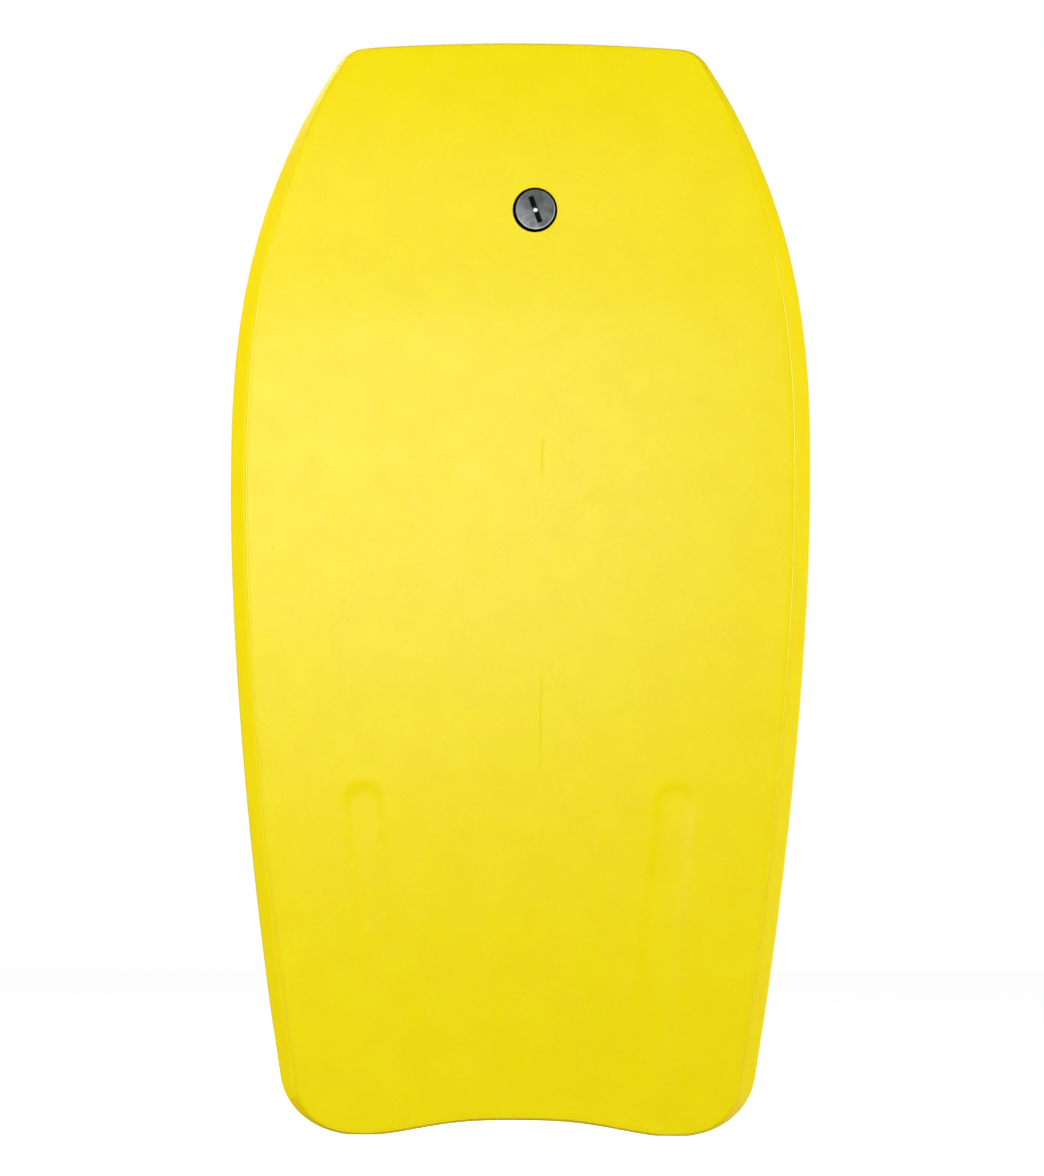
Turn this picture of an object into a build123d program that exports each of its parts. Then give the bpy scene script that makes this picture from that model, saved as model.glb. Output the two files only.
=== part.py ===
from build123d import *
import os

# A 37 inch bodyboard, hung nose-up: +Z towards the nose, -Y out of the slick bottom,
# +Y out of the deck, X = 0 on the centreline. The origin is the middle of the whole board.

# ---------------------------------------------------------------- driving dimensions (mm)
LENGTH = 940.0
WIDTH = 500.0
DEPTH = 64.0             # from the slick's flat to the deck at the kicked-up nose
THICKNESS = 52.0         # of the board's flat middle
NOSE_KICK = 26.0         # how far the slick rises towards the nose
NOSE_DECK_RISE = 12.0
TAIL_KICK = 3.0
TAIL_DECK_DROP = 5.0
NOSE_CURVE_START = 210.0
TAIL_CURVE_START = -250.0

WIDE_POINT = 81.0        # height of the widest place
NOSE_TAPER = 104.0       # half width lost from the widest place to the nose
NOSE_POWER = 2.72
TAIL_TAPER = 52.7        # half width lost from the widest place to the tail
TAIL_POWER = 1.69
NOSE_CAMBER = 6.0
NOSE_CORNER_R = 22.0
CRESCENT_DEPTH = 13.5
CRESCENT_HALF = 97.0
CRESCENT_RISE = 4.5      # how far the crescent's ends stand above the tail's tips
TAIL_TIP_X = 134.0
TAIL_CORNER = ((190.0, 22.0), (165.0, 4.6))   # half width and height above the tail
TAIL_SWEEP = (-1.0, 0.18)    # direction in which the tips run into the crescent
LOFT_MARGIN = 6.0        # how far the section reaches past the slick and the deck

CHINE = 14.0             # width of the bevel between the slick and the widest line
DECK_BEVEL = 20.0        # width of the bevel between the widest line and the deck
WIDEST_LINE = 0.5        # its place in the thickness, from slick to deck
RAIL_WALL = 8.0          # thickness of the foam strips, measured across the board
SLICK_SKIN = 2.0
DECK_SKIN = 3.0
NOSE_BAND_START = 451.0
TAIL_BAND_START = -442.0

CHANNEL_WIDTH = 36.0
CHANNEL_DEPTH = 3.6      # below the slick's flat; the tail's kick makes it shallower there
CHANNEL_TOP = (134.0, -184.0)
CHANNEL_TAIL = (106.0, -480.0)

STRINGER_R = 4.0
STRINGER_BORE_R = 2.8
STRINGER_TOP = 410.0
STRINGER_FOOT = -425.0
CAP_LENGTH = 9.0
CAP_R = 5.0
CAP_ROUND = 1.2

PLUG_X = 11.6
PLUG_Z = 327.0
DISC_R = 17.7
DISC_RIM = 1.6
DISC_CROWN = 0.8
DISC_ROUND = 0.5
BOSS_R = 13.3
BOSS_DEPTH = 4.0
POST_R = 4.0
POST_LENGTH = 30.2        # from the slick's disc
BARREL_LENGTH = 30.6      # from the deck's disc
THREAD_FLOOR = 4.0        # material left between the barrel's thread and its boss
LEASH_HOLE_R = 2.15
THREAD_CLEARANCE = 0.06
BARREL_R = 6.3
GASKET_R = 19.1
GASKET_BORE_R = 14.6
GASKET_THICK = 1.0
DISC_SINK = 0.5          # the slick's disc sits this far below the sheet
DISC_STAND = 0.2         # the deck's disc stands this far above it
GASKET_OFFSET = (-0.4, -0.5)
JOINT_GAP = 0.05
SEAT_GAP = 0.25
SLOT_LENGTH = 23.3
SLOT_WIDTH = 4.0
SLOT_DEPTH = 4.0
SLOT_CHAMFER = 0.4
SLOT_TURN = 20.7         # the coin slot's lean from the board's length

REACH = LENGTH / 2 + 10
NOSE = LENGTH / 2
TAIL = -LENGTH / 2
SLICK_FLAT = -DEPTH / 2
DECK_FLAT = SLICK_FLAT + THICKNESS
SIDE_HEIGHTS = (NOSE - NOSE_CAMBER, 380, 240, 81, -120, -300, -420)
SECTION_HEIGHTS = (-480, -360, -240, -120, 0, 120, 240, 330, 410, 480)


# ---------------------------------------------------------------- the board's shape
def half_width(z):
    """Half the board's width at height z: two power curves that meet at the widest place."""
    if z > WIDE_POINT:
        return WIDTH / 2 - NOSE_TAPER * ((z - WIDE_POINT) / (NOSE - WIDE_POINT)) ** NOSE_POWER
    return WIDTH / 2 - TAIL_TAPER * ((z - WIDE_POINT) / (TAIL - WIDE_POINT)) ** TAIL_POWER


def bent(z, flat, at_nose, at_tail):
    """A face that is flat in the middle and leaves it on a parabola at each end."""
    if z > NOSE_CURVE_START:
        return flat + at_nose * ((z - NOSE_CURVE_START) / (NOSE - NOSE_CURVE_START)) ** 2
    if z < TAIL_CURVE_START:
        return flat + at_tail * ((z - TAIL_CURVE_START) / (TAIL - TAIL_CURVE_START)) ** 2
    return flat


def slick_y(z):
    return bent(z, SLICK_FLAT, NOSE_KICK, TAIL_KICK)


def deck_y(z):
    return bent(z, DECK_FLAT, NOSE_DECK_RISE, -TAIL_DECK_DROP)


def widest_y(z):
    return slick_y(z) + WIDEST_LINE * (deck_y(z) - slick_y(z))


def side_curve(face, shift):
    """The face's line in side view, moved by shift: parabola, straight, parabola."""
    def point(z):
        return (face(z) + shift, z)

    flat = face(0) + shift
    with BuildLine() as curve:
        Bezier(point(-REACH), (flat, (TAIL_CURVE_START - REACH) / 2), point(TAIL_CURVE_START))
        Line(point(TAIL_CURVE_START), point(NOSE_CURVE_START))
        Bezier(point(NOSE_CURVE_START), (flat, (NOSE_CURVE_START + REACH) / 2), point(REACH))
    return curve.line


def layer(low_face, low_shift, high_face, high_shift):
    """A slab wider than the board, between two faces seen from the side."""
    low = side_curve(low_face, low_shift)
    high = side_curve(high_face, high_shift)
    foot = [(low_face(-REACH) + low_shift, -REACH), (high_face(-REACH) + high_shift, -REACH)]
    head = [(low_face(REACH) + low_shift, REACH), (high_face(REACH) + high_shift, REACH)]
    with BuildPart() as slab:
        with BuildSketch(Plane.YZ):
            with BuildLine():
                add(low)
                add(high)
                Line(*foot)
                Line(*head)
            make_face()
        extrude(amount=WIDTH, both=True)
    return slab.part


def bevelled_body(inset):
    """The board's six-sided section lofted along its length, each side moved in by inset."""
    with BuildPart() as body:
        for z in SECTION_HEIGHTS:
            edge = half_width(z) - inset
            low, wide, high = slick_y(z), widest_y(z), deck_y(z)
            low_x = edge - CHINE * (1 + LOFT_MARGIN / (wide - low))
            high_x = edge - DECK_BEVEL * (1 + LOFT_MARGIN / (high - wide))
            with BuildSketch(Plane.XY.offset(z)):
                with BuildLine():
                    right = [(low_x, low - LOFT_MARGIN), (edge, wide), (high_x, high + LOFT_MARGIN)]
                    left = [(-x, y) for x, y in reversed(right)]
                    Polyline(right + left, close=True)
                make_face()
        loft()
    return body.part


def outline():
    """The board seen square on, as a prism: nose arc, two sides, tail tips and crescent."""
    corner_z = NOSE - NOSE_CAMBER
    corner_x = half_width(corner_z)
    crescent_end = (CRESCENT_HALF, TAIL + CRESCENT_RISE)
    with BuildPart() as prism:
        with BuildSketch(Plane.XZ):
            with BuildLine() as edge:
                side = Spline([(half_width(z), z) for z in SIDE_HEIGHTS])
                Spline(
                    side @ 1,
                    *[(x, TAIL + height) for x, height in TAIL_CORNER],
                    (TAIL_TIP_X, TAIL),
                    crescent_end,
                    tangents=[side % 1, TAIL_SWEEP],
                )
                mirror(edge.edges(), about=Plane.YZ)
                ThreePointArc(
                    crescent_end,
                    (0, TAIL + CRESCENT_DEPTH),
                    (-CRESCENT_HALF, TAIL + CRESCENT_RISE),
                )
                ThreePointArc((corner_x, corner_z), (0, NOSE), (-corner_x, corner_z))
            make_face()
            fillet(vertices().group_by(Axis.Y)[-1], NOSE_CORNER_R)
        extrude(amount=DEPTH, both=True)
    return prism.part


def channel_pair(width, depth):
    """Two rounded grooves cut from the slick, a little closer together at the tail."""
    run = Vector(CHANNEL_TAIL) - Vector(CHANNEL_TOP)
    middle = (Vector(CHANNEL_TAIL) + Vector(CHANNEL_TOP)) * 0.5
    lean = Vector(1, 0).get_signed_angle(run, normal=Vector(0, 0, 1))
    with BuildPart() as grooves:
        with BuildSketch(Plane.XZ.offset(-SLICK_FLAT - depth)):
            with Locations(Location((middle.X, middle.Y), lean)):
                SlotCenterToCenter(run.length, width)
            mirror(about=Plane.YZ)
        extrude(amount=DEPTH)
    return grooves.part


def bore(radius, low_y, high_y, offset=(0.0, 0.0)):
    """A round cut along the plug's axis, from low_y to high_y."""
    with BuildPart() as cut:
        with BuildSketch(Plane.XZ.offset(-low_y)):
            with Locations((PLUG_X + offset[0], PLUG_Z + offset[1])):
                Circle(radius)
        extrude(amount=low_y - high_y)
    return cut.part


PRISM = outline()
BODY = bevelled_body(0.0)
INNER = bevelled_body(RAIL_WALL)
MIDDLE = layer(slick_y, SLICK_SKIN, deck_y, -DECK_SKIN)
LOWER_HALF = layer(slick_y, -REACH, widest_y, 0)

# ---------------------------------------------------------------- places along the plug's axis
DISC_Y = slick_y(PLUG_Z) + DISC_SINK
DISC_BACK_Y = DISC_Y + DISC_RIM
GASKET_Y = DISC_BACK_Y + JOINT_GAP
SEAT_Y = GASKET_Y + GASKET_THICK + JOINT_GAP
BOSS_BACK_Y = DISC_BACK_Y + BOSS_DEPTH
SLOT_FLOOR_Y = DISC_Y - DISC_CROWN + SLOT_DEPTH
NUT_DISC_Y = deck_y(PLUG_Z) + DISC_STAND
NUT_BACK_Y = NUT_DISC_Y - DISC_RIM
NUT_SEAT_Y = NUT_BACK_Y - GASKET_THICK
NUT_BOSS_Y = NUT_BACK_Y - BOSS_DEPTH
NUT_SLOT_FLOOR_Y = NUT_DISC_Y + DISC_CROWN - SLOT_DEPTH
BARREL_END_Y = NUT_DISC_Y - BARREL_LENGTH
BARREL_FLOOR_Y = NUT_BOSS_Y - THREAD_FLOOR
POST_END_Y = DISC_Y + POST_LENGTH

SLICK_SEAT = bore(GASKET_R + SEAT_GAP, -DEPTH, SEAT_Y, GASKET_OFFSET)
DECK_SEAT = bore(GASKET_R + SEAT_GAP, NUT_SEAT_Y, DEPTH)
PLUG_BORE = bore(BARREL_R + SEAT_GAP, -DEPTH, DEPTH)
SLICK_BOSS_BORE = bore(BOSS_R + SEAT_GAP, -DEPTH, BOSS_BACK_Y + SEAT_GAP)
DECK_BOSS_BORE = bore(BOSS_R + SEAT_GAP, NUT_BOSS_Y - SEAT_GAP, DEPTH)
PLUG_CUTS = [SLICK_SEAT, DECK_SEAT, PLUG_BORE, SLICK_BOSS_BORE, DECK_BOSS_BORE]

CHANNEL_CUT = channel_pair(CHANNEL_WIDTH, CHANNEL_DEPTH)
CHANNEL_BED = channel_pair(CHANNEL_WIDTH + 2 * SLICK_SKIN, CHANNEL_DEPTH + SLICK_SKIN)

# ---------------------------------------------------------------- slick bottom
SLICK_LAYER = layer(slick_y, 0, slick_y, SLICK_SKIN)
SLICK_UNDERLAYER = layer(slick_y, 0, slick_y, SLICK_SKIN + CHANNEL_DEPTH)
with BuildPart() as slick_skin:
    add(SLICK_UNDERLAYER)
    add(CHANNEL_BED, mode=Mode.INTERSECT)
    add(SLICK_LAYER)
    add(BODY, mode=Mode.INTERSECT)
    add(PRISM, mode=Mode.INTERSECT)
    add(CHANNEL_CUT, mode=Mode.SUBTRACT)
    add(PLUG_CUTS, mode=Mode.SUBTRACT)
slick_skin.part.label = "slick_skin"

# ---------------------------------------------------------------- deck
with BuildPart() as deck_skin:
    add(layer(deck_y, -DECK_SKIN, deck_y, 0))
    add(BODY, mode=Mode.INTERSECT)
    add(PRISM, mode=Mode.INTERSECT)
    add(PLUG_CUTS, mode=Mode.SUBTRACT)
deck_skin.part.label = "deck_skin"

# ---------------------------------------------------------------- foam core
with BuildPart() as foam_core:
    add(MIDDLE)
    add(INNER, mode=Mode.INTERSECT)
    split(bisect_by=Plane.XY.offset(NOSE_BAND_START), keep=Keep.BOTTOM)
    split(bisect_by=Plane.XY.offset(TAIL_BAND_START), keep=Keep.TOP)
    add(CHANNEL_BED, mode=Mode.SUBTRACT)
    add(PLUG_CUTS, mode=Mode.SUBTRACT)
    with BuildSketch(Plane.XY.offset(STRINGER_FOOT)):
        Circle(STRINGER_R)
    extrude(amount=STRINGER_TOP - STRINGER_FOOT, mode=Mode.SUBTRACT)
    with BuildSketch(Plane.XY.offset(STRINGER_TOP), Plane.XY.offset(STRINGER_FOOT - CAP_LENGTH)):
        Circle(CAP_R)
    extrude(amount=CAP_LENGTH, mode=Mode.SUBTRACT)
foam_core.part.label = "foam_core"

# ---------------------------------------------------------------- rails
with BuildPart() as rail_ring:
    add(MIDDLE)
    add(BODY, mode=Mode.INTERSECT)
    add(PRISM, mode=Mode.INTERSECT)
    add(INNER, mode=Mode.SUBTRACT)
    split(bisect_by=Plane.XY.offset(NOSE_BAND_START), keep=Keep.BOTTOM)
    split(bisect_by=Plane.XY.offset(TAIL_BAND_START), keep=Keep.TOP)

with BuildPart() as right_lower_rail:
    add(rail_ring.part)
    split(bisect_by=Plane.YZ, keep=Keep.TOP)
    add(LOWER_HALF, mode=Mode.INTERSECT)
right_lower_rail.part.label = "right_lower_rail"

with BuildPart() as right_upper_rail:
    add(rail_ring.part)
    split(bisect_by=Plane.YZ, keep=Keep.TOP)
    add(LOWER_HALF, mode=Mode.SUBTRACT)
right_upper_rail.part.label = "right_upper_rail"

with BuildPart() as left_lower_rail:
    add(right_lower_rail.part)
    mirror(about=Plane.YZ, mode=Mode.REPLACE)
left_lower_rail.part.label = "left_lower_rail"

with BuildPart() as left_upper_rail:
    add(right_upper_rail.part)
    mirror(about=Plane.YZ, mode=Mode.REPLACE)
left_upper_rail.part.label = "left_upper_rail"

# ---------------------------------------------------------------- bands across the two ends
with BuildPart() as nose_band:
    add(MIDDLE)
    add(BODY, mode=Mode.INTERSECT)
    add(PRISM, mode=Mode.INTERSECT)
    split(bisect_by=Plane.XY.offset(NOSE_BAND_START), keep=Keep.TOP)
nose_band.part.label = "nose_band"

with BuildPart() as tail_band:
    add(MIDDLE)
    add(BODY, mode=Mode.INTERSECT)
    add(PRISM, mode=Mode.INTERSECT)
    split(bisect_by=Plane.XY.offset(TAIL_BAND_START), keep=Keep.BOTTOM)
    add(CHANNEL_BED, mode=Mode.SUBTRACT)
tail_band.part.label = "tail_band"

# ---------------------------------------------------------------- stringer
with BuildPart() as stringer_tube:
    with BuildSketch(Plane.XY.offset(STRINGER_FOOT)):
        Circle(STRINGER_R)
        Circle(STRINGER_BORE_R, mode=Mode.SUBTRACT)
    extrude(amount=STRINGER_TOP - STRINGER_FOOT)
stringer_tube.part.label = "stringer_tube"


def stringer_cap(end_z, outward):
    """A cap with a stub that presses into the tube's end."""
    with BuildPart() as cap:
        with BuildSketch(Plane.XY.offset(end_z)):
            Circle(CAP_R)
        extrude(amount=outward * CAP_LENGTH)
        outer = faces().sort_by(Axis.Z)[-1 if outward > 0 else 0]
        fillet(outer.edges(), CAP_ROUND)
        with BuildSketch(Plane.XY.offset(end_z)):
            Circle(STRINGER_BORE_R)
        extrude(amount=-outward * CAP_LENGTH)
    return cap.part


stringer_nose_cap = stringer_cap(STRINGER_TOP, 1)
stringer_nose_cap.label = "stringer_nose_cap"
stringer_tail_cap = stringer_cap(STRINGER_FOOT, -1)
stringer_tail_cap.label = "stringer_tail_cap"


# ---------------------------------------------------------------- leash plug
def disc_profile(rim_y, outward, shaft):
    """Half section of a domed disc with its boss and shaft; outward is -1 or 1 along Y."""
    back = rim_y - outward * DISC_RIM
    boss = back - outward * BOSS_DEPTH
    crown = rim_y + outward * DISC_CROWN
    with BuildLine(Plane.XY) as line:
        dome = TangentArc((PLUG_X, crown), (PLUG_X + DISC_R - DISC_ROUND, rim_y), tangent=(1, 0))
        Polyline(
            dome @ 1,
            (PLUG_X + DISC_R, rim_y - outward * DISC_ROUND),
            (PLUG_X + DISC_R, back),
            (PLUG_X + BOSS_R, back),
            (PLUG_X + BOSS_R, boss),
            (PLUG_X + shaft[0], boss),
            (PLUG_X + shaft[0], shaft[1]),
            (PLUG_X, shaft[1]),
            dome @ 0,
        )
    return line.line


PLUG_AXIS = Axis((PLUG_X, 0, PLUG_Z), (0, 1, 0))
PLUG_PLANE = Plane.XY.offset(PLUG_Z)
SLOT_ANGLE = 90 + SLOT_TURN

with BuildPart() as plug_screw:
    with BuildSketch(PLUG_PLANE):
        add(make_face(disc_profile(DISC_Y, -1, (POST_R, POST_END_Y)), mode=Mode.PRIVATE))
    revolve(axis=PLUG_AXIS)
    with BuildSketch(Plane.XZ.offset(-SLOT_FLOOR_Y)):
        with Locations(Location((PLUG_X, PLUG_Z), SLOT_ANGLE)):
            Rectangle(SLOT_LENGTH, SLOT_WIDTH)
    extrude(amount=SLOT_DEPTH + DISC_CROWN, mode=Mode.SUBTRACT)
    mouth = edges(Select.LAST).filter_by(lambda edge: edge.center().Y < DISC_Y)
    chamfer(mouth, SLOT_CHAMFER)
    add(bore(LEASH_HOLE_R, SLOT_FLOOR_Y, DEPTH), mode=Mode.SUBTRACT)
plug_screw.part.label = "plug_screw"

with BuildPart() as plug_nut:
    with BuildSketch(PLUG_PLANE):
        add(make_face(disc_profile(NUT_DISC_Y, 1, (BARREL_R, BARREL_END_Y)), mode=Mode.PRIVATE))
    revolve(axis=PLUG_AXIS)
    with BuildSketch(Plane.XZ.offset(-NUT_SLOT_FLOOR_Y)):
        with Locations(Location((PLUG_X, PLUG_Z), 90)):
            Rectangle(SLOT_LENGTH, SLOT_WIDTH)
    extrude(amount=-SLOT_DEPTH - DISC_CROWN, mode=Mode.SUBTRACT)
    mouth = edges(Select.LAST).filter_by(lambda edge: edge.center().Y > NUT_DISC_Y)
    chamfer(mouth, SLOT_CHAMFER)
    add(bore(POST_R + THREAD_CLEARANCE, BARREL_END_Y, BARREL_FLOOR_Y), mode=Mode.SUBTRACT)
    add(bore(LEASH_HOLE_R, -DEPTH, NUT_SLOT_FLOOR_Y), mode=Mode.SUBTRACT)
plug_nut.part.label = "plug_nut"

with BuildPart() as plug_gasket:
    add(bore(GASKET_R, GASKET_Y, GASKET_Y + GASKET_THICK, GASKET_OFFSET))
    add(bore(GASKET_BORE_R, -DEPTH, DEPTH, GASKET_OFFSET), mode=Mode.SUBTRACT)
plug_gasket.part.label = "plug_gasket"

with BuildPart() as plug_deck_gasket:
    add(bore(GASKET_R, NUT_SEAT_Y, NUT_BACK_Y))
    add(bore(GASKET_BORE_R, -DEPTH, DEPTH), mode=Mode.SUBTRACT)
plug_deck_gasket.part.label = "plug_deck_gasket"

# ---------------------------------------------------------------- files
PIECES = [
    slick_skin.part,
    deck_skin.part,
    foam_core.part,
    left_lower_rail.part,
    right_lower_rail.part,
    left_upper_rail.part,
    right_upper_rail.part,
    nose_band.part,
    tail_band.part,
    stringer_tube.part,
    stringer_nose_cap,
    stringer_tail_cap,
    plug_screw.part,
    plug_nut.part,
    plug_gasket.part,
    plug_deck_gasket.part,
]

os.makedirs("parts", exist_ok=True)
for piece in PIECES:
    export_step(piece, f"parts/{piece.label}.step")
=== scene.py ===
"""Dresses the bodyboard's CAD frame: slick sheet, deck sheet, edge strips, leash plug and a white studio."""

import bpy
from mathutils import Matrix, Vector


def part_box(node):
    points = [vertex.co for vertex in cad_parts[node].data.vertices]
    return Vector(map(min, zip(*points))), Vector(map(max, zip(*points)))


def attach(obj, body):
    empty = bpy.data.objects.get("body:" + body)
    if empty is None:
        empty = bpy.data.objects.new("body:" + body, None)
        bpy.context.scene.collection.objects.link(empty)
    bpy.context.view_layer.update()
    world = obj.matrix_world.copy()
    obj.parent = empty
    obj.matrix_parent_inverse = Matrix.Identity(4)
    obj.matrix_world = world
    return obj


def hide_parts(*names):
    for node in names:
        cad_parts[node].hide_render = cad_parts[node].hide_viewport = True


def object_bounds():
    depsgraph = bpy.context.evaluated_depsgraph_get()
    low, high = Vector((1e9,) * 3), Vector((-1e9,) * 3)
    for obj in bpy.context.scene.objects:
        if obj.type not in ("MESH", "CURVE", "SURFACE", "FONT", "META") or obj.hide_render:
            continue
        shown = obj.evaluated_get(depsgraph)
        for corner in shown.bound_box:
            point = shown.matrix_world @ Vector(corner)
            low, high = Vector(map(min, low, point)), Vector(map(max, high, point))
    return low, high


bl_info = {
    "name": "Bodyboard",
    "version": (1, 0, 0),
    "blender": (4, 5, 0),
    "location": "3D View > Sidebar > Bodyboard",
    "description": "Builds a laminated foam bodyboard's visible pieces around its CAD frame",
    "category": "Object",
}

from math import cos, pi, radians, sin, tau

import bmesh
import bpy
from mathutils import Vector

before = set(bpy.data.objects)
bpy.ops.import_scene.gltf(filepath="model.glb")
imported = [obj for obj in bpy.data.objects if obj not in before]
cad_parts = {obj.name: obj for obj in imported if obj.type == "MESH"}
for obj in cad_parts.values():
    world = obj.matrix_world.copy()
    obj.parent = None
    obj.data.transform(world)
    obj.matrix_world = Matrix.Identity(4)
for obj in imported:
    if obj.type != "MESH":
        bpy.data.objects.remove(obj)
LOW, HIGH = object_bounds()

# ------------------------------------------------------------------ sizes in metres, from the frame
NOSE = HIGH.z
TAIL = LOW.z
HALF_WIDTH = HIGH.x
SLICK_FLAT = LOW.y
THICKNESS = 0.052
DECK_FLAT = SLICK_FLAT + THICKNESS
NOSE_KICK = 0.026
NOSE_DECK_RISE = 0.012
TAIL_KICK = 0.003
TAIL_DECK_DROP = 0.005
NOSE_CURVE_START = 0.210
TAIL_CURVE_START = -0.250
WIDE_POINT = 0.081
NOSE_TAPER = 0.104
NOSE_POWER = 2.72
TAIL_TAPER = 0.0527
TAIL_POWER = 1.69
NOSE_CAMBER = 0.006
CRESCENT_DEPTH = 0.0135
TAIL_TIP_X = 0.134
NOSE_BAND_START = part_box("nose_band")[0].z
TAIL_BAND_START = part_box("tail_band")[1].z
CHANNEL_TOP = Vector((0.134, -0.184))
CHANNEL_TAIL = Vector((0.106, -0.480))
CHANNEL_FLOOR_HALF = 0.0090    # half the width of a channel's flat floor
CHANNEL_REACH = 0.0200         # from a channel's middle to where its wall meets the sheet
CREASE_X = 0.0185
UPPER_CREASE = (0.101, 0.127)
LOWER_CREASE = (-0.152, -0.075)
SPINE = (-0.43, 0.40)    # the rows of the big sheets run from their edge to this stretch of the centreline

gasket_low, gasket_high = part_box("plug_gasket")
SEAT = (gasket_low + gasket_high) / 2
SEAT_R = (gasket_high.x - gasket_low.x) / 2 + 0.00025
nut_low, nut_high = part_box("plug_nut")
NUT = (nut_low + nut_high) / 2
screw_low, screw_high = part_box("plug_screw")
DISC_R = (screw_high.x - screw_low.x) / 2
deck_ring_low, deck_ring_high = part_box("plug_deck_gasket")
NUT_SEAT_R = (deck_ring_high.x - deck_ring_low.x) / 2 + 0.00025
MM = 0.001

# ------------------------------------------------------------------ fixed colours, sRGB hex
CORE_WHITE, CORE_SHADE = "#F4F1E6", "#DAD5C6"
FIBRE_BLACK, FIBRE_GREY = "#141414", "#2E2E2C"
RUBBER_BLACK, RUBBER_BLOOM = "#020202", "#090807"
PVC_BLACK, PVC_GREY = "#161616", "#242424"
# Near black for the plug's painted shade in its slot, bore and edge.
SHADE_BLACK = "#050505"
FLOOR_WHITE, GLOW_WHITE = "#F2F2F2", "#FFFFFF"


# ------------------------------------------------------------------ colours and nodes
def linear(code):
    """An sRGB hex colour as linear red, green, blue and alpha."""
    parts = [int(code[i:i + 2], 16) / 255 for i in (1, 3, 5)]
    return (*[c / 12.92 if c <= 0.04045 else ((c + 0.055) / 1.055) ** 2.4 for c in parts], 1.0)


def node(tree, kind, settings=None, links=None):
    """Adds a node, sets its properties and sockets by name, and links its inputs."""
    made = tree.nodes.new(kind)
    for name, value in (settings or {}).items():
        if name in made.inputs:
            made.inputs[name].default_value = value
        else:
            setattr(made, name, value)
    for name, source in (links or {}).items():
        tree.links.new(source, made.inputs[name])
    return made


def new_material(name):
    """An empty node material and its shader."""
    material = bpy.data.materials.new(name)
    material.use_nodes = True
    tree = material.node_tree
    tree.nodes.clear()
    shader = node(tree, "ShaderNodeBsdfPrincipled")
    node(tree, "ShaderNodeOutputMaterial", links={"Surface": shader.outputs["BSDF"]})
    place = node(tree, "ShaderNodeTexCoord").outputs["Object"]
    return material, tree, shader, place


def noise(tree, place, size_mm, detail=2.0, roughness=0.5):
    """Noise whose blotches are about size_mm across."""
    settings = {"Scale": 1000 / size_mm, "Detail": detail, "Roughness": roughness}
    return node(tree, "ShaderNodeTexNoise", settings, {"Vector": place}).outputs["Fac"]


def spread(tree, value, low, high, start=0.3, end=0.7):
    """Maps a noise value onto the range low to high."""
    settings = {"From Min": start, "From Max": end, "To Min": low, "To Max": high}
    return node(tree, "ShaderNodeMapRange", settings, {"Value": value}).outputs["Result"]


def tint(tree, value, first, second):
    """Blends two hex colours by a value."""
    ramp = node(tree, "ShaderNodeValToRGB", links={"Fac": value})
    ramp.color_ramp.elements[0].position = 0.3
    ramp.color_ramp.elements[1].position = 0.7
    ramp.color_ramp.elements[0].color = linear(first)
    ramp.color_ramp.elements[1].color = linear(second)
    return ramp.outputs["Color"]


def mixed(tree, part, first, second):
    """Blends a colour socket into a second colour."""
    made = node(tree, "ShaderNodeMix", {"data_type": "RGBA"})
    tree.links.new(part, made.inputs["Factor"])
    tree.links.new(first, made.inputs[6])
    made.inputs[7].default_value = second
    return made.outputs[2]


def bump(tree, height, depth_mm, below=None):
    """A bump whose relief is depth_mm deep, laid over another bump."""
    links = {"Height": height}
    if below:
        links["Normal"] = below
    return node(tree, "ShaderNodeBump", {"Distance": depth_mm * MM}, links).outputs["Normal"]


def calculate(tree, operation, *terms):
    """A Math node; each term is a number or a socket."""
    made = node(tree, "ShaderNodeMath", {"operation": operation})
    for index, term in enumerate(terms):
        if isinstance(term, (int, float)):
            made.inputs[index].default_value = term
        else:
            tree.links.new(term, made.inputs[index])
    return made.outputs["Value"]


# ------------------------------------------------------------------ the board's shape
def half_width(z):
    if z > WIDE_POINT:
        return HALF_WIDTH - NOSE_TAPER * ((z - WIDE_POINT) / (NOSE - WIDE_POINT)) ** NOSE_POWER
    return HALF_WIDTH - TAIL_TAPER * ((z - WIDE_POINT) / (TAIL - WIDE_POINT)) ** TAIL_POWER


def bent(z, flat, at_nose, at_tail):
    if z > NOSE_CURVE_START:
        return flat + at_nose * ((z - NOSE_CURVE_START) / (NOSE - NOSE_CURVE_START)) ** 2
    if z < TAIL_CURVE_START:
        return flat + at_tail * ((z - TAIL_CURVE_START) / (TAIL - TAIL_CURVE_START)) ** 2
    return flat


def slick_y(z):
    return bent(z, SLICK_FLAT, NOSE_KICK, TAIL_KICK)


def deck_y(z):
    return bent(z, DECK_FLAT, NOSE_DECK_RISE, -TAIL_DECK_DROP)


def widest_y(z):
    return (slick_y(z) + deck_y(z)) / 2


def smooth(low, high, value):
    """0 below low, 1 above high and a smooth turn between."""
    t = min(1.0, max(0.0, (value - low) / (high - low)))
    return t * t * (3 - 2 * t)


def bezier(control, steps):
    """Points along a Bezier curve, its first point left out."""
    found = []
    for step in range(1, steps + 1):
        t = step / steps
        points = list(control)
        while len(points) > 1:
            points = [a.lerp(b, t) for a, b in zip(points, points[1:])]
        found.append(points[0])
    return found


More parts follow.
